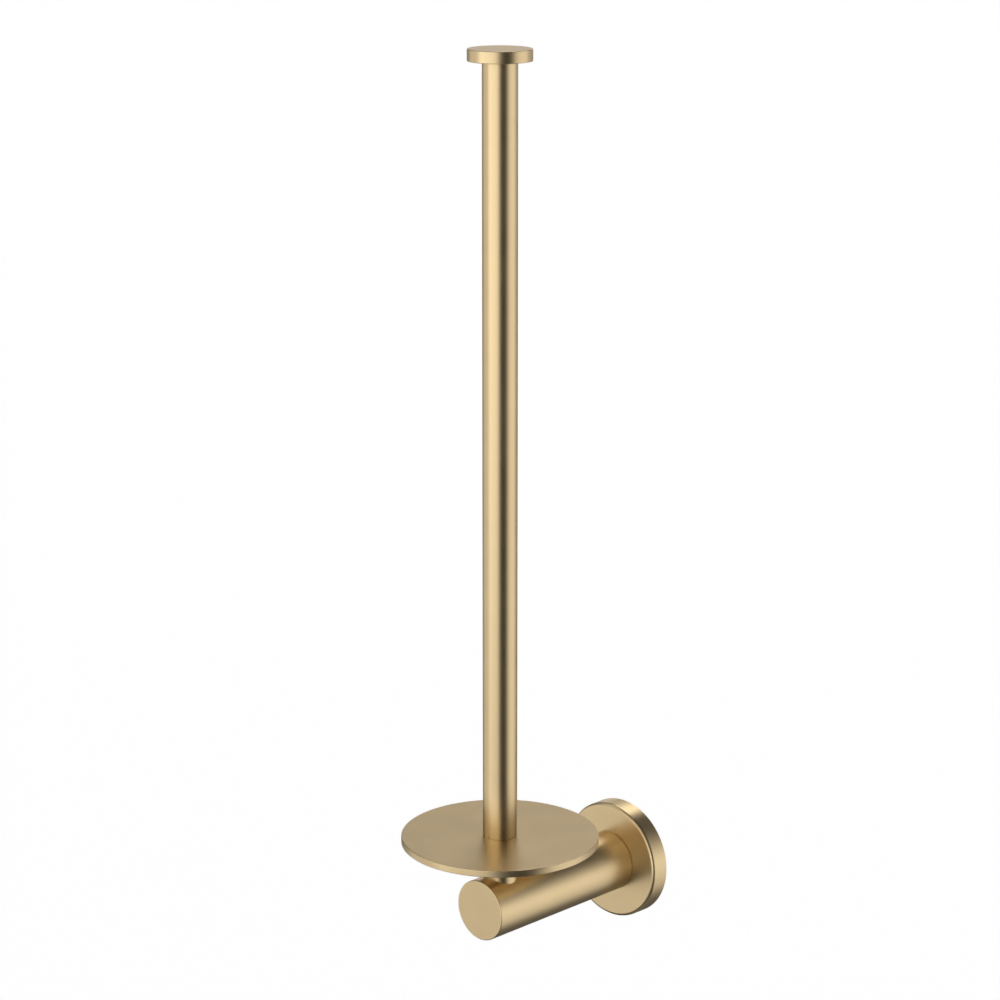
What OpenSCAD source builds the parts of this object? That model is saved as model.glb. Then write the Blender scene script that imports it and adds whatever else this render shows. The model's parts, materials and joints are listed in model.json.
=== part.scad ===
// Vertical holder for spare toilet rolls, screwed to a wall.
// Millimetres. The origin is the centre of the rose's back, on the wall. +Z is up, and the room is at -Y.

/* [Rose] */
// Diameter of the round rose that covers the wall bracket
rose_d = 50; // [48:0.5:56]
// How far the rose stands out from the wall
rose_depth = 8.2; // [7.6:0.1:9]
// Radius of the rounded edge round the rose's face
rose_round = 1.3; // [0.5:0.1:1.8]
// Thickness of the rose's side wall
rose_wall = 2.2; // [1.8:0.1:2.6]

/* [Wall bracket] */
// Distance between the two wall screw holes
hole_spacing = 25; // [24:0.5:26]
// Diameter of the wall screw holes
hole_d = 4.5; // [4:0.1:5]
// Thickness of the bracket plate
bracket_t = 4.8; // [4.4:0.1:5]

/* [Arm] */
// Outer diameter of the arm
arm_d = 25.4; // [24:0.1:28]
// Wall thickness of the arm tube
arm_wall = 2; // [1.5:0.1:2.5]
// Distance from the wall to the front end of the arm
arm_reach = 87.1; // [84:0.1:95]
// Radius of the broken edge round the arm's front end
arm_round = 0.35; // [0.2:0.05:0.6]

/* [Tray] */
// Diameter of the tray that the rolls stand on
tray_d = 81; // [70:1:100]
// Thickness of the tray
tray_t = 2.85; // [2.5:0.05:3.5]
// Height of the tray's top above the arm's axis
tray_top = 30.15; // [28:0.05:32]
// Radius of the tray's broken edges
tray_round = 0.3; // [0.2:0.05:0.6]

/* [Post] */
// Outer diameter of the post
post_d = 14; // [14:0.5:18]
// Wall thickness of the post tube
post_wall = 1.5; // [1:0.1:1.6]
// Length of the post between the tray and the cap
post_len = 315.3; // [200:0.1:440]
// Distance from the wall to the post's axis
post_setback = 75.3; // [72:0.1:76]

/* [Cap] */
// Diameter of the cap on top of the post
cap_d = 25.5; // [20:0.5:32]
// Thickness of the cap
cap_t = 4.65; // [4.5:0.05:7]
// Radius of the cap's broken edges
cap_round = 0.25; // [0.2:0.05:0.6]

/* [Hidden] */
$fn = 96;

// Clearance cuts run this far past the solid they cut
past = 1;

// Rose cavity and the boss that carries the set screw
rose_face = 2.8;
cavity_d = rose_d - 2 * rose_wall;
cavity_depth = rose_depth - rose_face;
boss_w = 9;
boss_clearance = 0.6;

// Bracket: an undercut rim that the set screw pulls on
rim_r = 18.6;
rim_back_r = 16;
rim_slope_h = 3.7;
bracket_bore_d = 15;
countersink_d = 8.4;

// M4 set screw with a hexagon socket and a cone point
set_d = 4;
set_len = 6;
set_tip_h = 1.2;
set_axis_y = 3.2;
set_socket_af = 2;
set_socket_depth = 2;
set_tip_gap = 0.02;
set_tip_r = rim_back_r + (rim_r - rim_back_r) * set_axis_y / rim_slope_h + set_tip_gap;

// M6 screws and their spring washers
m6_d = 6;
m6_clear_d = 6.4;
washer_d = 10;
washer_bore_d = 6.2;
washer_t = 1.6;
washer_slit = 0.9;
button_d = 10.5;
button_h = 3.3;
button_socket_af = 4;
button_socket_depth = 2;
arm_screw_len = 14;
cap_screw_head_d = 10;
cap_screw_head_h = 6;
cap_screw_socket_af = 5;
cap_screw_socket_depth = 3;
post_bolt_len = 40;

// Plugs inside the arm
arm_bore_d = arm_d - 2 * arm_wall;
root_plug_len = 16;
root_thread_len = 12;
end_face_t = 2;
end_spigot_len = 22;
bolt_access_d = 11;
cover_depth = 3;

// Dowel that keeps the arm upright on the rose
pin_d = 3;
pin_len = 8;
pin_height = 7.5;

// Inserts inside the post
post_bore_d = post_d - 2 * post_wall;
base_insert_len = 16;
top_insert_len = 14;

// M5 stud between the post and the cap
stud_d = 5;
stud_len = 12;
stud_in_cap = 3;
stud_hole_depth = 3.2;
stud_socket_af = 2.5;
stud_socket_depth = 2.5;

// Heights above the arm's axis
tray_bottom = tray_top - tray_t;
post_top = tray_top + post_len;
bolt_seat = 0;

// Places its children at a distance from the wall, with their +Z pointing into the room
module out_from_wall(distance) {
    translate([0, -distance, 0])
        rotate([90, 0, 0])
            children();
}

// Places its children on the post's axis at a height
module on_post_axis(height) {
    translate([0, -post_setback, height])
        children();
}

// A turned disc or bar whose upper and lower edges are rounded
module turned(d, h, top_round, bottom_round) {
    r = d / 2;
    inner = max(top_round, bottom_round);
    rotate_extrude()
        union() {
            square([r - inner, h]);
            translate([0, bottom_round])
                square([r, h - top_round - bottom_round]);
            if (top_round > 0)
                translate([r - top_round, h - top_round])
                    circle(top_round);
            if (bottom_round > 0)
                translate([r - bottom_round, bottom_round])
                    circle(bottom_round);
        }
}

// A hexagon socket, measured across its flats
module hex_socket(flats, depth) {
    cylinder(h = depth, d = flats / cos(30), $fn = 6);
}

// A spring washer: a ring with one slit
module spring_washer() {
    difference() {
        cylinder(h = washer_t, d = washer_d);
        translate([0, 0, -past])
            cylinder(h = washer_t + 2 * past, d = washer_bore_d);
        translate([0, -washer_slit / 2, -past])
            cube([washer_d, washer_slit, washer_t + 2 * past]);
    }
}

// Radius of the sphere whose cap has this height on a base of this diameter
function dome_r(d, h) = (d * d / 4 + h * h) / (2 * h);

module wall_bracket() {
    color("lightgray")
        difference() {
            out_from_wall(0)
                rotate_extrude()
                    polygon([
                        [bracket_bore_d / 2, 0],
                        [rim_back_r, 0],
                        [rim_r, rim_slope_h],
                        [rim_r, bracket_t],
                        [bracket_bore_d / 2, bracket_t]
                    ]);
            for (side = [-1, 1])
                translate([side * hole_spacing / 2, 0, 0]) {
                    out_from_wall(-past)
                        cylinder(h = bracket_t + 2 * past, d = hole_d);
                    out_from_wall(bracket_t - (countersink_d - hole_d) / 2)
                        cylinder(h = (countersink_d - hole_d) / 2, d1 = hole_d, d2 = countersink_d);
                }
        }
}

module rose_cover() {
    color("tan")
        difference() {
            out_from_wall(0)
                turned(rose_d, rose_depth, rose_round, 0);
            difference() {
                out_from_wall(-past)
                    cylinder(h = cavity_depth + past, d = cavity_d);
                translate([-boss_w / 2, -rose_depth, -rose_d / 2])
                    cube([boss_w, rose_depth, rose_d / 2 - rim_r - boss_clearance]);
            }
            out_from_wall(0)
                cylinder(h = rose_depth + past, d = m6_clear_d);
            translate([0, 0, pin_height])
                out_from_wall(0)
                    cylinder(h = rose_depth + past, d = pin_d);
            translate([0, -set_axis_y, -rose_d / 2 - past])
                cylinder(h = rose_d / 2, d = set_d);
        }
}

module rose_set_screw() {
    color("dimgray")
        translate([0, -set_axis_y, -set_tip_r - set_len])
            difference() {
                union() {
                    cylinder(h = set_len - set_tip_h, d = set_d);
                    translate([0, 0, set_len - set_tip_h])
                        cylinder(h = set_tip_h, d1 = set_d, d2 = set_d - 2 * set_tip_h);
                }
                translate([0, 0, -past])
                    hex_socket(set_socket_af, set_socket_depth + past);
            }
}

module arm_fixing_screw() {
    sphere_r = dome_r(button_d, button_h);
    color("silver")
        out_from_wall(cavity_depth - washer_t)
            difference() {
                union() {
                    cylinder(h = arm_screw_len, d = m6_d);
                    intersection() {
                        translate([0, 0, -button_h])
                            cylinder(h = button_h, d = button_d);
                        translate([0, 0, sphere_r - button_h])
                            sphere(r = sphere_r);
                    }
                }
                translate([0, 0, -button_h - past])
                    hex_socket(button_socket_af, button_socket_depth + past);
            }
}

module arm_screw_washer() {
    color("silver")
        out_from_wall(cavity_depth - washer_t)
            spring_washer();
}

module arm_locating_pin() {
    color("silver")
        translate([0, 0, pin_height])
            out_from_wall(cavity_depth)
                cylinder(h = pin_len, d = pin_d);
}

module arm_root_plug() {
    color("peru")
        difference() {
            out_from_wall(rose_depth)
                cylinder(h = root_plug_len, d = arm_bore_d);
            out_from_wall(rose_depth - past)
                cylinder(h = root_thread_len + past, d = m6_d);
            translate([0, 0, pin_height])
                out_from_wall(rose_depth - past)
                    cylinder(h = pin_len - rose_face + past, d = pin_d);
        }
}

module arm_tube() {
    color("burlywood")
        difference() {
            out_from_wall(rose_depth)
                cylinder(h = arm_reach - end_face_t - rose_depth, d = arm_d);
            out_from_wall(rose_depth - past)
                cylinder(h = arm_reach - end_face_t - rose_depth + 2 * past, d = arm_bore_d);
            on_post_axis(0)
                cylinder(h = arm_d, d = m6_clear_d);
            on_post_axis(-arm_d)
                cylinder(h = arm_d, d = bolt_access_d);
        }
}

module arm_end_plug() {
    color("burlywood")
        difference() {
            union() {
                out_from_wall(arm_reach - end_face_t)
                    turned(arm_d, end_face_t, arm_round, 0);
                out_from_wall(arm_reach - end_face_t - end_spigot_len)
                    cylinder(h = end_spigot_len, d = arm_bore_d);
            }
            on_post_axis(-arm_d)
                cylinder(h = 2 * arm_d, d = m6_clear_d);
            on_post_axis(-arm_d)
                cylinder(h = arm_d + bolt_seat, d = bolt_access_d);
        }
}

module post_bolt() {
    color("silver")
        on_post_axis(bolt_seat - washer_t)
            difference() {
                union() {
                    cylinder(h = post_bolt_len, d = m6_d);
                    translate([0, 0, -cap_screw_head_h])
                        cylinder(h = cap_screw_head_h, d = cap_screw_head_d);
                }
                translate([0, 0, -cap_screw_head_h - past])
                    hex_socket(cap_screw_socket_af, cap_screw_socket_depth + past);
            }
}

module post_bolt_washer() {
    color("silver")
        on_post_axis(bolt_seat - washer_t)
            spring_washer();
}

module bolt_hole_cover() {
    color("burlywood")
        intersection() {
            on_post_axis(-arm_d / 2)
                cylinder(h = cover_depth, d = bolt_access_d);
            out_from_wall(rose_depth)
                cylinder(h = arm_reach - rose_depth, d = arm_d);
        }
}

module neck_collar() {
    color("burlywood")
        difference() {
            on_post_axis(0)
                cylinder(h = tray_bottom, d = post_d);
            out_from_wall(rose_depth)
                cylinder(h = arm_reach - rose_depth, d = arm_d);
            on_post_axis(-past)
                cylinder(h = tray_bottom + 2 * past, d = m6_clear_d);
        }
}

module tray_disc() {
    color("tan")
        difference() {
            on_post_axis(tray_bottom)
                turned(tray_d, tray_t, tray_round, tray_round);
            on_post_axis(tray_bottom - past)
                cylinder(h = tray_t + 2 * past, d = m6_clear_d);
        }
}

module post_base_insert() {
    color("peru")
        difference() {
            on_post_axis(tray_top)
                cylinder(h = base_insert_len, d = post_bore_d);
            on_post_axis(tray_top - past)
                cylinder(h = base_insert_len + 2 * past, d = m6_d);
        }
}

module post_tube() {
    color("burlywood")
        difference() {
            on_post_axis(tray_top)
                cylinder(h = post_len, d = post_d);
            on_post_axis(tray_top - past)
                cylinder(h = post_len + 2 * past, d = post_bore_d);
        }
}

module post_top_insert() {
    color("peru")
        difference() {
            on_post_axis(post_top - top_insert_len)
                cylinder(h = top_insert_len, d = post_bore_d);
            on_post_axis(post_top - top_insert_len - past)
                cylinder(h = top_insert_len + 2 * past, d = stud_d);
        }
}

module cap_stud() {
    color("silver")
        on_post_axis(post_top + stud_in_cap - stud_len)
            difference() {
                cylinder(h = stud_len, d = stud_d);
                translate([0, 0, -past])
                    hex_socket(stud_socket_af, stud_socket_depth + past);
            }
}

module top_cap() {
    color("tan")
        difference() {
            on_post_axis(post_top)
                turned(cap_d, cap_t, cap_round, cap_round);
            on_post_axis(post_top - past)
                cylinder(h = stud_hole_depth + past, d = stud_d);
        }
}

wall_bracket();
rose_cover();
rose_set_screw();
arm_fixing_screw();
arm_screw_washer();
arm_locating_pin();
arm_root_plug();
arm_tube();
arm_end_plug();
post_bolt();
post_bolt_washer();
bolt_hole_cover();
neck_collar();
tray_disc();
post_base_insert();
post_tube();
post_top_insert();
cap_stud();
top_cap();
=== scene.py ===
import json
import math

import bpy
from mathutils import Matrix, Vector


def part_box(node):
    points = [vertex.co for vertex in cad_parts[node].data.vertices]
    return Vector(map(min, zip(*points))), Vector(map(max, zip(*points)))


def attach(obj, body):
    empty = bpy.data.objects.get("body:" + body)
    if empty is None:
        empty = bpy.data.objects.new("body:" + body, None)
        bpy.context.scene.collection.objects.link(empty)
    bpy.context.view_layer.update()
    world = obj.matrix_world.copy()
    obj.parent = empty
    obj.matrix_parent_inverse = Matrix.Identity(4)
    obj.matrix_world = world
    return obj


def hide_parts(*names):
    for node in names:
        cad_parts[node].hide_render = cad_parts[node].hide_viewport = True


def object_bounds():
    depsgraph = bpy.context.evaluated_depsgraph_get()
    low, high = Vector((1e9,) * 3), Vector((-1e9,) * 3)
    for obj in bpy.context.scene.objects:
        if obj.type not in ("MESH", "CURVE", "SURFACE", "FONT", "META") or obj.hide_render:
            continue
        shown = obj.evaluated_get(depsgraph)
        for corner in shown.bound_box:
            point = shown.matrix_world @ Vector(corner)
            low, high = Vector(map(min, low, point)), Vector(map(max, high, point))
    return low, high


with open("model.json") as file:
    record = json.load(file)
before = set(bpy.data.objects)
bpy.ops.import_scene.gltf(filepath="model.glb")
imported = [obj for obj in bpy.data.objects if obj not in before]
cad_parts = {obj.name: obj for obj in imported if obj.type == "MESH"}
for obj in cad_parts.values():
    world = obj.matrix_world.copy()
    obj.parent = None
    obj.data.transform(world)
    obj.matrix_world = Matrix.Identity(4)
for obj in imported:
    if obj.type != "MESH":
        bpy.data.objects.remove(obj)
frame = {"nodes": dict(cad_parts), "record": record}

cad_low, cad_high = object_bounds()

# ---------------------------------------------------------------- sizes, in metres, from the frame

MM = 0.001
ROOT = "root"


class Box:
    """The box that a CAD node fills. Each is round and centred on x = 0, so its width gives its radius."""

    def __init__(self, node):
        low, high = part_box(node)
        self.low = Vector(low)
        self.high = Vector(high)
        self.size = self.high - self.low
        self.radius = self.size.x / 2


rose = Box("rose_cover")
bracket = Box("wall_bracket")
set_screw = Box("rose_set_screw")
pin = Box("arm_locating_pin")
arm_screw = Box("arm_fixing_screw")
arm = Box("arm_tube")
tray = Box("tray_disc")
post = Box("post_tube")
cap = Box("top_cap")
hole_cover = Box("bolt_hole_cover")

arm_front_y = Box("arm_end_plug").low.y
arm_bore_r = Box("arm_root_plug").radius
post_bore_r = Box("post_base_insert").radius
post_y = (post.low.y + post.high.y) / 2
set_screw_y = (set_screw.low.y + set_screw.high.y) / 2
pin_z = (pin.low.z + pin.high.z) / 2
cavity_depth = -pin.high.y

# Small sizes that the boxes don't give, the same as in the CAD model
ROSE_ROUND = 1.3 * MM
ROSE_CAVITY_R = 22.8 * MM
BOSS_WIDTH = 9 * MM
BOSS_TOP_R = 19.2 * MM
ARM_ROUND = 0.35 * MM
TRAY_ROUND = 0.3 * MM
CAP_ROUND = 0.25 * MM
END_FACE_T = 2 * MM
END_SPIGOT_LENGTH = 22 * MM
BRACKET_BACK_R = 16 * MM
BRACKET_SLOPE_H = 3.7 * MM
BRACKET_BORE_R = 7.5 * MM
COUNTERSINK_R = 4.2 * MM
M6_CLEAR_R = 3.2 * MM
M6_R = 3 * MM
STUD_R = 2.5 * MM
STUD_HOLE_DEPTH = 3.2 * MM
SET_SCREW_TIP = 1.2 * MM
SET_SCREW_SOCKET = 2 * MM
BUTTON_H = 3.3 * MM
BUTTON_SOCKET = 4 * MM
BUTTON_SOCKET_DEPTH = 2 * MM

# Edges that the CAD model leaves sharp, broken here as on real metal
FINE_BREAK = 0.12 * MM
POST_FOOT_BREAK = 0.15 * MM
COVER_BREAK = 0.2 * MM
FIXING_BREAK = 0.3 * MM
ARM_ROOT_BREAK = 0.5 * MM

# How finely round shapes are divided
TURN_STEPS = 192
TRAY_TURN_STEPS = 384
SMALL_TURN_STEPS = 96
TOOL_TURN_STEPS = 64
ARC_STEPS = 10
DOME_STEPS = 12

# How far a cutting shape starts outside the metal, and how far one joined shape runs into the other
PAST = 1 * MM
OVERLAP = 0.12 * MM

# A length that counts as nothing
NOTHING = 1e-7


# ---------------------------------------------------------------- outlines of turned pieces


def straight(start, end):
    """One straight step of an outline: its two ends, each with the normal to the right of the travel."""
    travel = (Vector(end) - Vector(start)).normalized()
    normal = Vector((travel.y, -travel.x))
    return (Vector(start), normal, Vector(end), normal)


def fillet(before, corner, after, radius):
    """The arc that rounds a corner: its steps, and the points where it leaves the two sides."""
    to_before = (Vector(before) - Vector(corner)).normalized()
    to_after = (Vector(after) - Vector(corner)).normalized()
    half = to_before.angle(to_after) / 2
    reach = radius / math.tan(half)
    first = Vector(corner) + to_before * reach
    last = Vector(corner) + to_after * reach
    middle = Vector(corner) + (to_before + to_after).normalized() * (radius / math.sin(half))
    hollow = -to_before.x * to_after.y + to_before.y * to_after.x < 0
    start_angle = math.atan2(first.y - middle.y, first.x - middle.x)
    sweep = math.atan2(last.y - middle.y, last.x - middle.x) - start_angle
    sweep = (sweep + math.pi) % (2 * math.pi) - math.pi
    points = []
    for i in range(ARC_STEPS + 1):
        angle = start_angle + sweep * i / ARC_STEPS
        spoke = Vector((math.cos(angle), math.sin(angle)))
        points.append((middle + spoke * radius, -spoke if hollow else spoke))
    steps = [(*points[i], *points[i + 1]) for i in range(ARC_STEPS)]
    return steps, first, last


def outline(*corners):
    """Steps of a closed outline with the solid on its left.

    Each corner is (radius, height), or (radius, height, rounding).
    """
    count = len(corners)
    arcs = {}
    for i, corner in enumerate(corners):
        if len(corner) == 3:
            arcs[i] = fillet(corners[i - 1][:2], corner[:2], corners[(i + 1) % count][:2], corner[2])
    steps = []
    for i, corner in enumerate(corners):
        following = (i + 1) % count
        start = arcs[i][2] if i in arcs else corner[:2]
        end = arcs[following][1] if following in arcs else corners[following][:2]
        if i in arcs:
            steps += arcs[i][0]
        steps.append(straight(start, end))
    return [step for step in steps if (step[0] - step[2]).length > NOTHING]


def out_from_wall(distance, x=0, z=0):
    """A turning axis that points from the wall into the room and starts this far out."""
    return Matrix.Translation((x, -distance, z)) @ Matrix.Rotation(math.radians(90), 4, "X")


def up_from(x, y, z):
    """A turning axis that points up."""
    return Matrix.Translation((x, y, z))


# ---------------------------------------------------------------- meshes


def mesh_from(name, verts, faces):
    """A mesh from its vertices and faces."""
    mesh = bpy.data.meshes.new(name)
    mesh.from_pydata(verts, [], faces)
    return mesh


def ring_faces(low, high, around):
    """The faces between two rings of vertices, which start at these two indices."""
    faces = []
    for i in range(around):
        j = (i + 1) % around
        faces.append((low + i, low + j, high + j, high + i))
    return faces


def circle_angles(around):
    """Evenly spaced angles round a full turn."""
    return [2 * math.pi * i / around for i in range(around)]


def turned_mesh(name, steps, axis, around=TURN_STEPS):
    """A closed mesh made by turning an outline round an axis. A point on the axis becomes one vertex."""
    rings, verts = [], []
    for radius, height in [step[0] for step in steps]:
        on_axis = radius < NOTHING
        rings.append((len(verts), on_axis))
        if on_axis:
            verts.append(axis @ Vector((0, 0, height)))
            continue
        for angle in circle_angles(around):
            verts.append(axis @ Vector((radius * math.cos(angle), radius * math.sin(angle), height)))
    faces = []
    for (low, low_on_axis), (high, high_on_axis) in zip(rings, rings[1:] + rings[:1]):
        if low_on_axis and high_on_axis:
            continue
        for i in range(around):
            j = (i + 1) % around
            if low_on_axis:
                faces.append((low, high + j, high + i))
            elif high_on_axis:
                faces.append((low + i, low + j, high))
            else:
                faces.append((low + i, low + j, high + j, high + i))
    mesh = mesh_from(name, verts, faces)
    mesh.validate()
    return mesh


def add_piece(name, mesh):
    """Puts a mesh in the scene as an object."""
    piece = bpy.data.objects.new(name, mesh)
    bpy.context.scene.collection.objects.link(piece)
    return piece


def surface_under(face, known):
    """The step of a turned surface that a face lies on, with what its normals need, or None."""
    near = 0.03 * MM
    same_way = 0.95
    best = None
    for inverse, turn, steps in known:
        local = inverse @ face.center
        radius = math.hypot(local.x, local.y)
        point = Vector((radius, local.z))
        spoke = Vector((local.x, local.y, 0)).normalized() if radius > NOTHING else Vector((1, 0, 0))
        for step in steps:
            side = step[2] - step[0]
            along = min(1, max(0, (point - step[0]).dot(side) / side.length_squared))
            gap = (step[0] + side * along - point).length
            if gap > near or (best and gap >= best[0]):
                continue
            flat = (step[1] + step[3]).normalized()
            true = turn @ (spoke * flat.x + Vector((0, 0, flat.y)))
            facing = true.dot(face.normal)
            if abs(facing) > same_way:
                best = (gap, inverse, turn, step, side, spoke, 1 if facing > 0 else -1)
    return best


def exact_normals(piece, surfaces):
    """Shades each face with the true normals of the turned surface it lies on, and any other face flat."""
    mesh = piece.data
    mesh.update()
    known = [(axis.inverted(), axis.to_3x3(), steps) for steps, axis in surfaces]
    normals = [None] * len(mesh.loops)
    for face in mesh.polygons:
        best = surface_under(face, known)
        for index in face.loop_indices:
            if best is None:
                normals[index] = face.normal.copy()
                continue
            _, inverse, turn, step, side, spoke, sign = best
            local = inverse @ mesh.vertices[mesh.loops[index].vertex_index].co
            radius = math.hypot(local.x, local.y)
            if radius > NOTHING:
                spoke = Vector((local.x / radius, local.y / radius, 0))
            along = (Vector((radius, local.z)) - step[0]).dot(side) / side.length_squared
            flat = step[1].lerp(step[3], min(1, max(0, along))).normalized()
            normals[index] = (turn @ (spoke * flat.x + Vector((0, 0, flat.y)))) * sign
    mesh.polygons.foreach_set("use_smooth", [True] * len(mesh.polygons))
    mesh.normals_split_custom_set(normals)


def combine(piece, operation, shape):
    """Joins a mesh to a piece or cuts it from the piece."""
    tool = add_piece("tool", shape)
    modifier = piece.modifiers.new("combine", "BOOLEAN")
    modifier.operation = operation
    modifier.object = tool
    modifier.solver = "EXACT"
    depsgraph = bpy.context.evaluated_depsgraph_get()
    mesh = bpy.data.meshes.new_from_object(piece.evaluated_get(depsgraph))
    piece.modifiers.clear()
    piece.data = mesh
    bpy.data.objects.remove(tool)


def turned(name, body, cuts=(), joins=(), around=TURN_STEPS):
    """A piece turned from an outline, with other shapes joined to it and cut from it.

    The body is (steps, axis). A cut or a join is (steps, axis) too, or a plain mesh.
    """
    piece = add_piece(name, turned_mesh(name, *body, around=around))
    surfaces = [body]
    for operation, shapes in (("UNION", joins), ("DIFFERENCE", cuts)):
        for shape in shapes:
            if isinstance(shape, tuple):
                surfaces.append(shape)
                shape = turned_mesh("tool", *shape, around=TOOL_TURN_STEPS)
            combine(piece, operation, shape)
    exact_normals(piece, surfaces)
    return piece


def rod(radius, start, end, axis):
    """A plain cylinder between two heights on an axis, as a cutting shape."""
    return outline((0, start), (radius, start), (radius, end), (0, end)), axis


def hexagon_socket(flats, depth, axis):
    """A hexagon socket that opens at the start of an axis, as a cutting shape measured across its flats."""
    sides = 6
    radius = flats / 2 / math.cos(math.pi / sides)
    verts = []
    for height in (-PAST, depth):
        for angle in circle_angles(sides):
            verts.append(axis @ Vector((radius * math.cos(angle), radius * math.sin(angle), height)))
    ends = [tuple(range(sides))[::-1], tuple(range(sides, 2 * sides))]
    return mesh_from("socket", verts, ends + ring_faces(0, sides, sides))


def block(low, high):
    """A plain box between two corners."""
    verts = [(x, y, z) for x in (low[0], high[0]) for y in (low[1], high[1]) for z in (low[2], high[2])]
    faces = [(0, 1, 3, 2), (4, 6, 7, 5), (0, 4, 5, 1), (2, 3, 7, 6), (0, 2, 6, 4), (1, 5, 7, 3)]
    return mesh_from("block", verts, faces)


# ---------------------------------------------------------------- the pieces


def make_rose():
    """A cup, open towards the wall, with a boss at the bottom for the set screw."""
    depth = rose.size.y
    cup = outline(
        (M6_CLEAR_R, cavity_depth), (ROSE_CAVITY_R, cavity_depth), (ROSE_CAVITY_R, 0),
        (rose.radius, 0, FINE_BREAK), (rose.radius, depth, ROSE_ROUND), (M6_CLEAR_R, depth),
    )
    boss_foot_r = rose.radius - 1 * MM
    boss = block(
        (-BOSS_WIDTH / 2, -cavity_depth - OVERLAP, -boss_foot_r), (BOSS_WIDTH / 2, 0, -BOSS_TOP_R),
    )
    pin_hole = rod(pin.radius, 0, depth + PAST, out_from_wall(0, z=pin_z))
    screw_hole = rod(set_screw.radius, -rose.radius - PAST, 0, up_from(0, set_screw_y, 0))
    return turned("rose", (cup, out_from_wall(0)), joins=[boss], cuts=[pin_hole, screw_hole])


def post_bolt_cuts(start):
    """The post bolt's hole through the arm, from this height up, and its wider way in from below."""
    axis = up_from(0, post_y, 0)
    return [rod(M6_CLEAR_R, start, 2 * arm.radius, axis), rod(hole_cover.radius, -2 * arm.radius, 0, axis)]


def make_arm_tube():
    """The arm's tube, with its wall end slightly broken where it meets the rose."""
    length = arm.high.y - arm.low.y
    wall = outline(
        (arm_bore_r, 0), (arm.radius, 0, ARM_ROOT_BREAK), (arm.radius, length), (arm_bore_r, length),
    )
    return turned("arm", (wall, out_from_wall(-arm.high.y)), cuts=post_bolt_cuts(0))


def make_arm_end():
    """The arm's round front face, with the spigot that plugs into the tube."""
    shape = outline(
        (0, -END_SPIGOT_LENGTH), (arm_bore_r, -END_SPIGOT_LENGTH), (arm_bore_r, 0), (arm.radius, 0),
        (arm.radius, END_FACE_T, ARM_ROUND), (0, END_FACE_T),
    )
    axis = out_from_wall(-arm_front_y - END_FACE_T)
    return turned("arm_end", (shape, axis), cuts=post_bolt_cuts(-2 * arm.radius))


def arm_top(x):
    """Height of the arm's round top at this distance from its middle."""
    return math.sqrt(arm.radius ** 2 - x ** 2)


def make_neck():
    """A collar whose foot is cut to sit on the round arm."""
    top = tray.low.z
    verts = []
    rings = ((M6_CLEAR_R, True), (post.radius, True), (post.radius, False), (M6_CLEAR_R, False))
    for radius, on_arm in rings:
        for angle in circle_angles(TURN_STEPS):
            x = radius * math.cos(angle)
            verts.append((x, post_y + radius * math.sin(angle), arm_top(x) if on_arm else top))
    faces = []
    for ring in range(len(rings)):
        following = (ring + 1) % len(rings)
        faces += ring_faces(ring * TURN_STEPS, following * TURN_STEPS, TURN_STEPS)
    piece = add_piece("neck", mesh_from("neck", verts, faces))
    wall = outline((M6_CLEAR_R, 0), (post.radius, 0), (post.radius, top), (M6_CLEAR_R, top))
    exact_normals(piece, [(wall, up_from(0, post_y, 0))])
    return piece


def make_tray():
    """The flat disc, with both edges slightly rounded."""
    thick = tray.size.z
    shape = outline(
        (M6_CLEAR_R, 0), (tray.radius, 0, TRAY_ROUND), (tray.radius, thick, TRAY_ROUND), (M6_CLEAR_R, thick),
    )
    return turned("tray", (shape, up_from(0, post_y, tray.low.z)), around=TRAY_TURN_STEPS)


def make_post():
    """The post's tube, with its foot slightly broken where it meets the tray."""
    length = post.size.z
    shape = outline(
        (post_bore_r, 0), (post.radius, 0, POST_FOOT_BREAK), (post.radius, length, FINE_BREAK),
        (post_bore_r, length),
    )
    return turned("post", (shape, up_from(0, post_y, post.low.z)))


def make_cap():
    """The flat cap, with a blind hole below for its stud."""
    thick = cap.size.z
    shape = outline(
        (0, STUD_HOLE_DEPTH), (STUD_R, STUD_HOLE_DEPTH), (STUD_R, 0),
        (cap.radius, 0, CAP_ROUND), (cap.radius, thick, CAP_ROUND), (0, thick),
    )
    return turned("cap", (shape, up_from(0, post_y, cap.low.z)))


def make_hole_cover():
    """A round cover in the arm's underside, its face flush with the arm and its edge slightly broken."""
    around = SMALL_TURN_STEPS
    break_share = 0.3
    sharp_from = math.radians(50)
    rings = [(hole_cover.radius * share, 0) for share in (0.25, 0.5, 0.75)]
    rings.append((hole_cover.radius - COVER_BREAK, 0))
    rings.append((hole_cover.radius - COVER_BREAK * break_share, COVER_BREAK * break_share))
    rings.append((hole_cover.radius, COVER_BREAK))
    verts = [(0, post_y, -arm.radius)]
    for radius, lift in rings:
        for angle in circle_angles(around):
            x = radius * math.cos(angle)
            verts.append((x, post_y + radius * math.sin(angle), lift - arm_top(x)))
    for angle in circle_angles(around):
        x = hole_cover.radius * math.cos(angle)
        verts.append((x, post_y + hole_cover.radius * math.sin(angle), hole_cover.high.z))
    faces = [(0, 1 + (i + 1) % around, 1 + i) for i in range(around)]
    for ring in range(len(rings)):
        faces += ring_faces(1 + ring * around, 1 + (ring + 1) * around, around)
    last = 1 + len(rings) * around
    faces.append(tuple(range(last, last + around)))
    mesh = mesh_from("hole_cover", verts, faces)
    piece = add_piece("hole_cover", mesh)
    for face in mesh.polygons:
        face.use_smooth = True
    mesh.set_sharp_from_angle(angle=sharp_from)
    return piece


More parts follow.
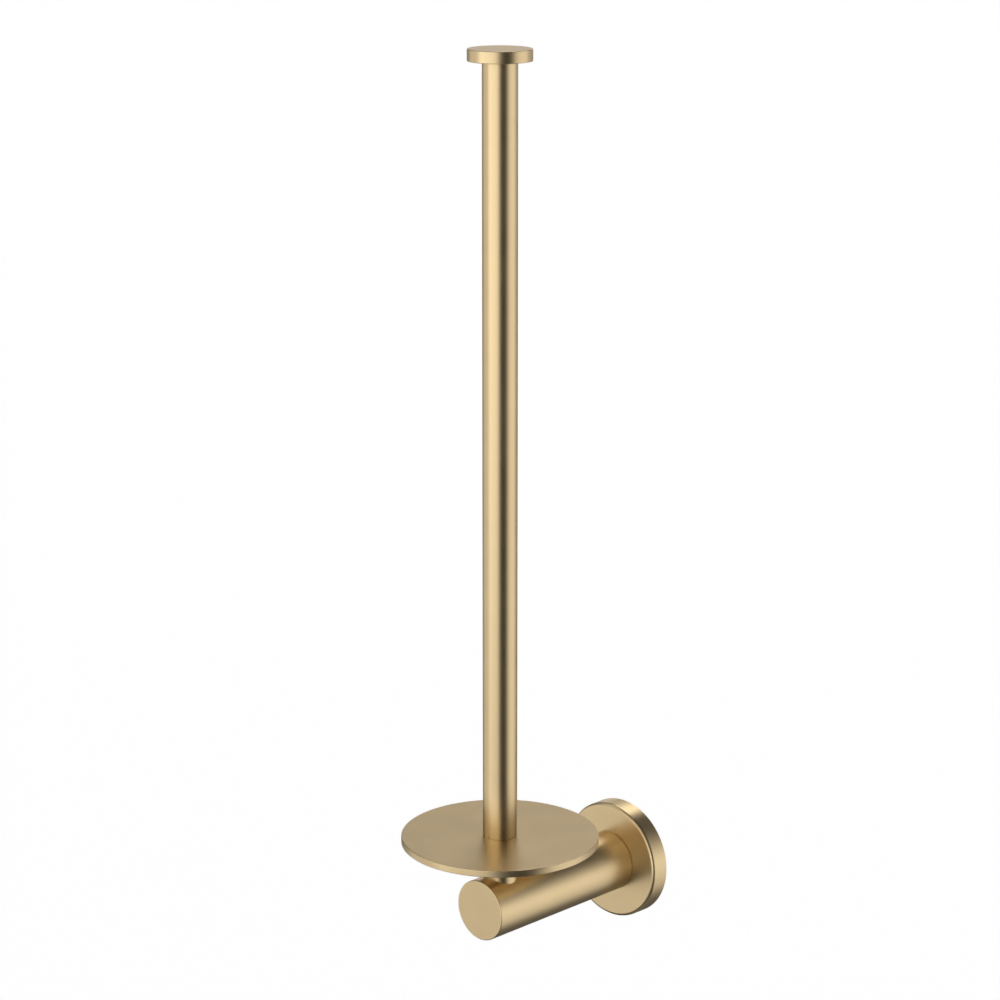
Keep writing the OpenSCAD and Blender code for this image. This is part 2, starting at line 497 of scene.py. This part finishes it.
def make_set_screw():
    """A grub screw with its socket below and a cone point above."""
    length = set_screw.size.z
    shape = outline(
        (0, 0), (set_screw.radius, 0, FIXING_BREAK), (set_screw.radius, length - SET_SCREW_TIP),
        (set_screw.radius - SET_SCREW_TIP, length), (0, length),
    )
    axis = up_from(0, set_screw_y, set_screw.low.z)
    socket = hexagon_socket(SET_SCREW_SOCKET, SET_SCREW_SOCKET, axis)
    return turned("set_screw", (shape, axis), cuts=[socket], around=SMALL_TURN_STEPS)


def make_bracket():
    """The round plate on the wall, with an undercut rim and two countersunk holes."""
    holes = next(mount for mount in frame["record"]["mounts"] if mount["name"] == "wall_screws")["dims"]
    spacing = holes["spacing_x_mm"] * MM
    hole_r = holes["hole_r_mm"] * MM
    thick = bracket.size.y
    shape = outline(
        (BRACKET_BORE_R, 0, FINE_BREAK), (BRACKET_BACK_R, 0, FINE_BREAK), (bracket.radius, BRACKET_SLOPE_H),
        (bracket.radius, thick, FIXING_BREAK), (BRACKET_BORE_R, thick, FIXING_BREAK),
    )
    sink_start = thick - (COUNTERSINK_R - hole_r)
    hole = outline(
        (0, -PAST), (hole_r, -PAST), (hole_r, sink_start), (COUNTERSINK_R, thick),
        (COUNTERSINK_R, thick + PAST), (0, thick + PAST),
    )
    cuts = [(hole, out_from_wall(0, x=side * spacing / 2)) for side in (-1, 1)]
    return turned("bracket", (shape, out_from_wall(0)), cuts=cuts)


def make_arm_screw():
    """The button-head screw inside the rose, with its hexagon socket towards the wall."""
    head_r = arm_screw.radius
    dome_r = (head_r ** 2 + BUTTON_H ** 2) / (2 * BUTTON_H)
    widest = math.asin(head_r / dome_r)
    dome = []
    for i in range(DOME_STEPS + 1):
        angle = widest * i / DOME_STEPS
        spoke = Vector((math.sin(angle), -math.cos(angle)))
        dome.append((Vector((0, dome_r)) + spoke * dome_r, spoke))
    shape = [(*dome[i], *dome[i + 1]) for i in range(DOME_STEPS)]
    length = arm_screw.size.y
    corners = [(head_r, BUTTON_H), (M6_R, BUTTON_H), (M6_R, length), (0, length), (0, 0)]
    shape += [straight(start, end) for start, end in zip(corners, corners[1:])]
    axis = out_from_wall(-arm_screw.high.y)
    socket = hexagon_socket(BUTTON_SOCKET, BUTTON_SOCKET_DEPTH, axis)
    return turned("arm_screw", (shape, axis), cuts=[socket], around=SMALL_TURN_STEPS)


# ---------------------------------------------------------------- camera

# Where the camera stands: degrees, with azimuth 0 in front of the wall and 90 at +X, and metres. The lens and
# the sensor are in millimetres.
CAMERA_AZIMUTH = 44.73
CAMERA_ELEVATION = 14.66
CAMERA_DISTANCE = 1.15405
CAMERA_LENS = 104.46
CAMERA_SENSOR = 36
AIM_ABOVE_TRAY = 0.1416


def make_camera():
    """The camera looks at a point on the post's axis, well above the tray."""
    azimuth = math.radians(CAMERA_AZIMUTH)
    elevation = math.radians(CAMERA_ELEVATION)
    aim = Vector((0, post_y, tray.high.z + AIM_ABOVE_TRAY))
    level = math.cos(elevation)
    back = Vector((math.sin(azimuth) * level, -math.cos(azimuth) * level, math.sin(elevation)))
    data = bpy.data.cameras.new("camera")
    data.lens = CAMERA_LENS
    data.sensor_width = CAMERA_SENSOR
    data.clip_start = 0.01
    data.clip_end = 100
    camera = bpy.data.objects.new("camera", data)
    bpy.context.scene.collection.objects.link(camera)
    camera.location = aim + back * CAMERA_DISTANCE
    camera.rotation_mode = "QUATERNION"
    camera.rotation_quaternion = (-back).to_track_quat("-Z", "Y")
    bpy.context.scene.camera = camera


# ---------------------------------------------------------------- shader nodes


class Graph:
    """Short calls for making and linking shader nodes."""

    def __init__(self, tree):
        self.tree = tree
        tree.nodes.clear()

    def node(self, kind, **settings):
        """A new node with these settings."""
        made = self.tree.nodes.new(kind)
        for key, value in settings.items():
            setattr(made, key, value)
        return made

    def feed(self, socket, value):
        """Links an output to a socket, or sets the socket to a constant."""
        if isinstance(value, bpy.types.NodeSocket):
            self.tree.links.new(value, socket)
        else:
            socket.default_value = value

    def math(self, operation, *values):
        """One step of arithmetic."""
        made = self.node("ShaderNodeMath", operation=operation)
        for socket, value in zip(made.inputs, values):
            self.feed(socket, value)
        return made.outputs[0]

    def ramp(self, value, low, high, to_low=0.0, to_high=1.0, smooth=True):
        """A value mapped from one range to another and held at its ends."""
        made = self.node("ShaderNodeMapRange", interpolation_type="SMOOTHSTEP" if smooth else "LINEAR")
        for socket, item in zip(made.inputs, (value, low, high, to_low, to_high)):
            self.feed(socket, item)
        return made.outputs[0]

    def noise(self, position, scale, detail=0.0, distortion=0.0):
        """Noise between 0 and 1, with 0.5 in the middle."""
        made = self.node("ShaderNodeTexNoise")
        self.feed(made.inputs["Vector"], position)
        made.inputs["Scale"].default_value = scale
        made.inputs["Detail"].default_value = detail
        made.inputs["Distortion"].default_value = distortion
        return made.outputs["Fac"]

    def mix_colour(self, factor, first, second):
        """A blend of two colours, each an output or three numbers."""
        made = self.node("ShaderNodeMix", data_type="RGBA")
        self.feed(made.inputs["Factor"], factor)
        first_colour, second_colour = made.inputs[6:8]
        for socket, value in ((first_colour, first), (second_colour, second)):
            self.feed(socket, (*value, 1) if isinstance(value, tuple) else value)
        return made.outputs[2]

    def bump(self, height, strength, depth, normal=None):
        """A normal bent by a height, on top of an earlier normal if there is one."""
        made = self.node("ShaderNodeBump")
        made.inputs["Strength"].default_value = strength
        made.inputs["Distance"].default_value = depth
        self.feed(made.inputs["Height"], height)
        if normal:
            self.feed(made.inputs["Normal"], normal)
        return made.outputs["Normal"]

    def metal(self, colour, roughness, normal):
        """Ends a material in a metal surface."""
        shader = self.node("ShaderNodeBsdfPrincipled")
        shader.inputs["Metallic"].default_value = 1
        self.feed(shader.inputs["Base Color"], colour)
        self.feed(shader.inputs["Roughness"], roughness)
        self.feed(shader.inputs["Normal"], normal)
        self.feed(self.node("ShaderNodeOutputMaterial").inputs["Surface"], shader.outputs[0])


def new_material(name):
    """A material and the graph of its nodes."""
    material = bpy.data.materials.new(name)
    material.use_nodes = True
    return material, Graph(material.node_tree)


def scaled(colour, factor):
    """A colour made lighter or darker."""
    return tuple(min(1, channel * factor) for channel in colour)


# ---------------------------------------------------------------- turned metal

# The lines left by brushing on a lathe: how far apart and how deep they are, and how often each one breaks
LINE_PITCH = 0.3 * MM
LINE_DEPTH = 0.003 * MM
LINE_BREAKS = 6
# The grain of the satin finish
GRAIN_SIZE = 0.35 * MM
GRAIN_DEPTH = 0.005 * MM
GRAIN_STRENGTH = 0.5
# Soft patches, and how much they and the lines change the roughness
PATCH_SIZE = 14 * MM
ROUGH_PATCHES = 0.05
ROUGH_LINES = 0.06
# What the lines add to the colour's variation, beside the patches, and the stretch of it that shows
LINE_SHARE = 0.3
MOTTLE_FROM, MOTTLE_TO = 0.25, 0.75
# Painted highlight along edges: how wide, how much lighter and smoother they are, and the least the patches
# leave
EDGE_WIDTH = 0.6 * MM
EDGE_HIGHLIGHT_TINT = 1.08
EDGE_SHINE = 0.08
LEAST_EDGE_HIGHLIGHT = 0.45
EDGE_HIGHLIGHT_FROM, EDGE_HIGHLIGHT_TO = 0.3, 0.65


def around_axis(g, point, along):
    """Distance from a turning axis, height along it, and the two parts of the direction round it."""
    position = g.node("ShaderNodeTexCoord").outputs["Object"]
    centred = g.node("ShaderNodeVectorMath", operation="SUBTRACT")
    g.feed(centred.inputs[0], position)
    g.feed(centred.inputs[1], point)
    parts = g.node("ShaderNodeSeparateXYZ")
    g.feed(parts.inputs[0], centred.outputs[0])
    x, y, z = parts.outputs
    across, height = (y, z) if along == "Z" else (z, g.math("MULTIPLY", y, -1.0))
    squared = g.math("MULTIPLY_ADD", x, x, g.math("MULTIPLY", across, across))
    never_zero = g.math("ADD", squared, 1e-12)
    radius = g.math("SQRT", never_zero)
    return position, radius, height, g.math("DIVIDE", x, radius), g.math("DIVIDE", across, radius)


def painted_highlight_near_edges(g, radius, height, edges, patches):
    """How much painted edge highlight each point gets, from 0 to 1, by its distance from the nearest edge."""
    edge_highlight = 0.0
    for edge_radius, edge_height in edges:
        off_radius = g.math("SUBTRACT", radius, edge_radius)
        off_height = g.math("SUBTRACT", height, edge_height)
        squared = g.math("MULTIPLY_ADD", off_radius, off_radius, g.math("MULTIPLY", off_height, off_height))
        near = g.ramp(g.math("SQRT", squared), 0.0, EDGE_WIDTH, 1.0, 0.0)
        edge_highlight = g.math("MAXIMUM", near, edge_highlight)
    return g.math("MULTIPLY", edge_highlight, g.ramp(patches, EDGE_HIGHLIGHT_FROM, EDGE_HIGHLIGHT_TO, LEAST_EDGE_HIGHLIGHT, 1.0))


def turned_metal(name, colour, roughness, along="Z", point=(0, 0, 0), edges=(), brush=0.5, variation=0.045):
    """Satin metal: fine lines round the turning axis, an even grain, soft patches, and edges painted lighter
    as a highlight and made smoother.

    Each edge is (radius, height) on the turning axis.
    """
    material, g = new_material(name)
    position, radius, height, turn_x, turn_y = around_axis(g, point, along)

    lines_at = g.node("ShaderNodeCombineXYZ")
    g.feed(lines_at.inputs[0], g.math("MULTIPLY", g.math("ADD", radius, height), 1 / LINE_PITCH))
    g.feed(lines_at.inputs[1], g.math("MULTIPLY", turn_x, LINE_BREAKS))
    g.feed(lines_at.inputs[2], g.math("MULTIPLY", turn_y, LINE_BREAKS))
    lines = g.noise(lines_at.outputs[0], 1.0, detail=2.0)
    grains = g.noise(position, 1 / GRAIN_SIZE, detail=1.0)
    patches = g.noise(position, 1 / PATCH_SIZE, detail=3.0)
    edge_highlight = painted_highlight_near_edges(g, radius, height, edges, patches)

    mottle = g.math("MULTIPLY_ADD", lines, LINE_SHARE, g.math("MULTIPLY", patches, 1 - LINE_SHARE))
    tone = g.ramp(mottle, MOTTLE_FROM, MOTTLE_TO, smooth=False)
    surface = g.mix_colour(tone, scaled(colour, 1 - variation), scaled(colour, 1 + variation))
    # Painted highlight: the colour is made lighter near the edges, more where the patches allow
    surface = g.mix_colour(edge_highlight, surface, scaled(colour, EDGE_HIGHLIGHT_TINT))

    shine = g.math("MULTIPLY_ADD", g.math("SUBTRACT", patches, 0.5), ROUGH_PATCHES, roughness)
    shine = g.math("MULTIPLY_ADD", g.math("SUBTRACT", lines, 0.5), ROUGH_LINES, shine)
    shine = g.math("MULTIPLY_ADD", edge_highlight, -EDGE_SHINE, shine)

    normal = g.bump(lines, brush, LINE_DEPTH)
    normal = g.bump(grains, GRAIN_STRENGTH, GRAIN_DEPTH, normal)
    g.metal(surface, shine, normal)
    return material


# ---------------------------------------------------------------- cast metal

# How many flow marks, grains and pits lie in a metre, and how deep the grains and the pits are
FLOW_MARKS = 180
SKIN_GRAINS = 1400
PITS = 900
SKIN_DEPTH = 0.02 * MM
PIT_DEPTH = 0.03 * MM
# The darkest and lightest tones of the skin, as shares of its colour, and what the grains add to the blotches
DARK_SKIN = 0.72
LIGHT_SKIN = 1.15
GRAIN_SHARE = 0.4
BLOTCH_FROM, BLOTCH_TO = 0.3, 0.7
# How far a pit's side reaches from its middle, as shares of the way between two pits
PIT_FROM, PIT_TO = 0.06, 0.22
# How strongly the grains and the pits bend the light, and how much the flow marks change the roughness
SKIN_STRENGTH = 0.7
PIT_STRENGTH = 0.5
ROUGH_FLOW = 0.3


def cast_metal(name, colour, roughness):
    """Dull die-cast metal: a blotchy skin with flow marks and a fine pitted grain."""
    material, g = new_material(name)
    position = g.node("ShaderNodeTexCoord").outputs["Object"]
    flow = g.noise(position, FLOW_MARKS, detail=4.0, distortion=1.4)
    skin = g.noise(position, SKIN_GRAINS, detail=3.0)
    pits = g.node("ShaderNodeTexVoronoi")
    g.feed(pits.inputs["Vector"], position)
    pits.inputs["Scale"].default_value = PITS
    out_of_pit = g.ramp(pits.outputs["Distance"], PIT_FROM, PIT_TO)

    dark = scaled(colour, DARK_SKIN)
    blotches = g.math("MULTIPLY_ADD", skin, GRAIN_SHARE, g.math("MULTIPLY", flow, 1 - GRAIN_SHARE))
    tone = g.ramp(blotches, BLOTCH_FROM, BLOTCH_TO)
    surface = g.mix_colour(tone, dark, scaled(colour, LIGHT_SKIN))
    surface = g.mix_colour(g.math("SUBTRACT", 1.0, out_of_pit), surface, dark)
    shine = g.math("MULTIPLY_ADD", g.math("SUBTRACT", flow, 0.5), ROUGH_FLOW, roughness)
    normal = g.bump(skin, SKIN_STRENGTH, SKIN_DEPTH)
    normal = g.bump(out_of_pit, PIT_STRENGTH, PIT_DEPTH, normal)
    g.metal(surface, shine, normal)
    return material


# ---------------------------------------------------------------- materials of the pieces

POST_AXIS = (0, post_y, 0)
SET_SCREW_AXIS = (0, set_screw_y, 0)
GOLD = (0.88, 0.68, 0.39)
STEEL = (0.62, 0.61, 0.6)
BRASS = (0.8, 0.62, 0.33)
ZINC = (0.5, 0.51, 0.52)
GOLD_ROUGHNESS = 0.34
STEEL_ROUGHNESS = 0.3
SET_SCREW_ROUGHNESS = 0.32
BRASS_ROUGHNESS = 0.35
ZINC_ROUGHNESS = 0.5

# The edges that get the painted highlight, as (radius, height) on each turning axis
upright_edges = [
    (tray.radius, tray.low.z), (tray.radius, tray.high.z), (cap.radius, cap.low.z), (cap.radius, cap.high.z),
]
level_edges = [(arm.radius, -arm_front_y), (rose.radius - ROSE_ROUND / 2, rose.size.y - ROSE_ROUND / 2)]
gold_upright = turned_metal("satin_gold_upright", GOLD, GOLD_ROUGHNESS, "Z", POST_AXIS, upright_edges)
gold_level = turned_metal("satin_gold_level", GOLD, GOLD_ROUGHNESS, "Y", edges=level_edges)
steel_upright = turned_metal(
    "stainless_upright", STEEL, STEEL_ROUGHNESS, "Z", POST_AXIS, brush=1, variation=0.12,
)
steel_level = turned_metal("stainless_level", STEEL, STEEL_ROUGHNESS, "Y", brush=1, variation=0.12)
steel_small = turned_metal(
    "stainless_small", STEEL, SET_SCREW_ROUGHNESS, "Z", SET_SCREW_AXIS, brush=1, variation=0.12,
)
brass_upright = turned_metal(
    "bare_brass_upright", BRASS, BRASS_ROUGHNESS, "Z", POST_AXIS, brush=1, variation=0.14,
)
brass_level = turned_metal("bare_brass_level", BRASS, BRASS_ROUGHNESS, "Y", brush=1, variation=0.14)
zinc = cast_metal("zinc", ZINC, ZINC_ROUGHNESS)

# ---------------------------------------------------------------- assembly

# The pieces that are made again in finer detail: how, the CAD node that each stands for, and its material
PIECES = [
    (make_rose, "rose_cover", gold_level, "satin_gold"),
    (make_arm_tube, "arm_tube", gold_level, "satin_gold"),
    (make_arm_end, "arm_end_plug", gold_level, "satin_gold"),
    (make_neck, "neck_collar", gold_upright, "satin_gold"),
    (make_tray, "tray_disc", gold_upright, "satin_gold"),
    (make_post, "post_tube", gold_upright, "satin_gold"),
    (make_cap, "top_cap", gold_upright, "satin_gold"),
    (make_hole_cover, "bolt_hole_cover", gold_upright, "satin_gold"),
    (make_set_screw, "rose_set_screw", steel_small, "stainless"),
    (make_bracket, "wall_bracket", zinc, "zinc"),
    (make_arm_screw, "arm_fixing_screw", steel_level, "stainless"),
]
for make, node, material, slot in PIECES:
    piece = make()
    piece.data.materials.clear()
    piece.data.materials.append(material)
    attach(piece, ROOT)
    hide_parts(node)

# The CAD nodes that stay as they are, all inside the holder
HIDDEN_FIXINGS = {
    "arm_screw_washer": steel_level, "arm_locating_pin": steel_level, "arm_root_plug": brass_level,
    "post_bolt": steel_upright, "post_bolt_washer": steel_upright, "post_base_insert": brass_upright,
    "post_top_insert": brass_upright, "cap_stud": steel_upright,
}
for node, material in HIDDEN_FIXINGS.items():
    for slot in frame["nodes"][node].material_slots:
        slot.material = material

make_camera()

# ---------------------------------------------------------------- light and floor

# Soft studio panels far off all round. Each has a name, the azimuth and elevation of its middle, its half
# width and half height, the width of its soft edge, all in degrees, and its brightness. Azimuth is as for the
# camera.
PANELS = [
    ("front_key", 5, -12, 30, 6, 25, 1.7),
    ("front_low", 5, -20, 35, 15, 20, 0.35),
    ("front_wash", 5, 22, 38, 32, 7, 0.85),
    ("left", -53, -11, 33, 20, 7, 0.8),
    ("left_high", -60, 45, 18, 20, 10, 1.15),
    ("left_side", -105, -8, 18, 20, 20, 0.3),
    ("right", 130, -12, 34, 32, 35, 0.9),
    ("right_core", 130, -8, 30, 14, 20, 0.25),
    ("back_right", 150, 34, 24, 14, 20, 0.1),
    ("back_low", 180, -15, 6, 22, 6, 0.75),
    ("back_left_low", -145, 3, 24, 9, 10, 0.7),
    ("back_left", -145, 12, 24, 16, 16, 0.35),
    ("back_left_high", -148, 56, 19, 20, 10, 2.75),
    ("under_back", 180, -45, 60, 12, 14, 0.1),
    ("floor_bounce", 0, -80, 200, 20, 15, 0.2),
]
# The light between the panels, and what the camera sees behind the holder in place of them
FILL = 0.01
BACKDROP = 0.97

FLOOR_DROP = 1.1
FLOOR_SIZE = 60
FLOOR_COLOUR = 0.8
FLOOR_ROUGHNESS = 0.9
FLOOR_GLOW = 0.72


def make_world():
    """Lights the holder with the panels. The camera sees a plain backdrop where they are."""
    world = bpy.data.worlds.new("studio")
    world.use_nodes = True
    bpy.context.scene.world = world
    g = Graph(world.node_tree)
    direction = g.node("ShaderNodeSeparateXYZ")
    g.feed(direction.inputs[0], g.node("ShaderNodeTexCoord").outputs["Generated"])
    x, y, z = direction.outputs
    degrees = 180 / math.pi
    azimuth = g.math("MULTIPLY", g.math("ARCTAN2", x, g.math("MULTIPLY", y, -1.0)), degrees)
    elevation = g.math("MULTIPLY", g.math("ARCSINE", z), degrees)
    total = FILL
    for _, middle, height, half_width, half_height, soft, brightness in PANELS:
        turn = g.math("ABSOLUTE", g.math("WRAP", g.math("SUBTRACT", azimuth, middle), 180.0, -180.0))
        rise = g.math("ABSOLUTE", g.math("SUBTRACT", elevation, height))
        across = g.ramp(turn, half_width - soft / 2, half_width + soft / 2, 1.0, 0.0)
        along = g.ramp(rise, half_height - soft / 2, half_height + soft / 2, 1.0, 0.0)
        total = g.math("MULTIPLY_ADD", g.math("MULTIPLY", across, along), brightness, total)
    strength = g.node("ShaderNodeMix", data_type="FLOAT")
    g.feed(strength.inputs["Factor"], g.node("ShaderNodeLightPath").outputs["Is Camera Ray"])
    g.feed(strength.inputs["A"], total)
    g.feed(strength.inputs["B"], BACKDROP)
    background = g.node("ShaderNodeBackground")
    g.feed(background.inputs["Strength"], strength.outputs[0])
    g.feed(g.node("ShaderNodeOutputWorld").inputs["Surface"], background.outputs[0])


def make_floor():
    """A plain pale floor, far below the holder, that only the camera sees: the metal doesn't mirror it."""
    half = FLOOR_SIZE / 2
    level = cad_low.z - FLOOR_DROP
    corners = [(-half, -half, level), (half, -half, level), (half, half, level), (-half, half, level)]
    floor = add_piece("floor", mesh_from("floor", corners, [(0, 1, 2, 3)]))
    material = bpy.data.materials.new("floor")
    material.use_nodes = True
    shader = material.node_tree.nodes["Principled BSDF"]
    shader.inputs["Base Color"].default_value = (FLOOR_COLOUR, FLOOR_COLOUR, FLOOR_COLOUR, 1)
    shader.inputs["Roughness"].default_value = FLOOR_ROUGHNESS
    shader.inputs["Emission Color"].default_value = (1, 1, 1, 1)
    shader.inputs["Emission Strength"].default_value = FLOOR_GLOW
    floor.data.materials.append(material)
    floor.visible_glossy = False
    floor.visible_diffuse = False
    floor.visible_shadow = False


bpy.context.scene.view_settings.view_transform = "Standard"
make_world()
make_floor()
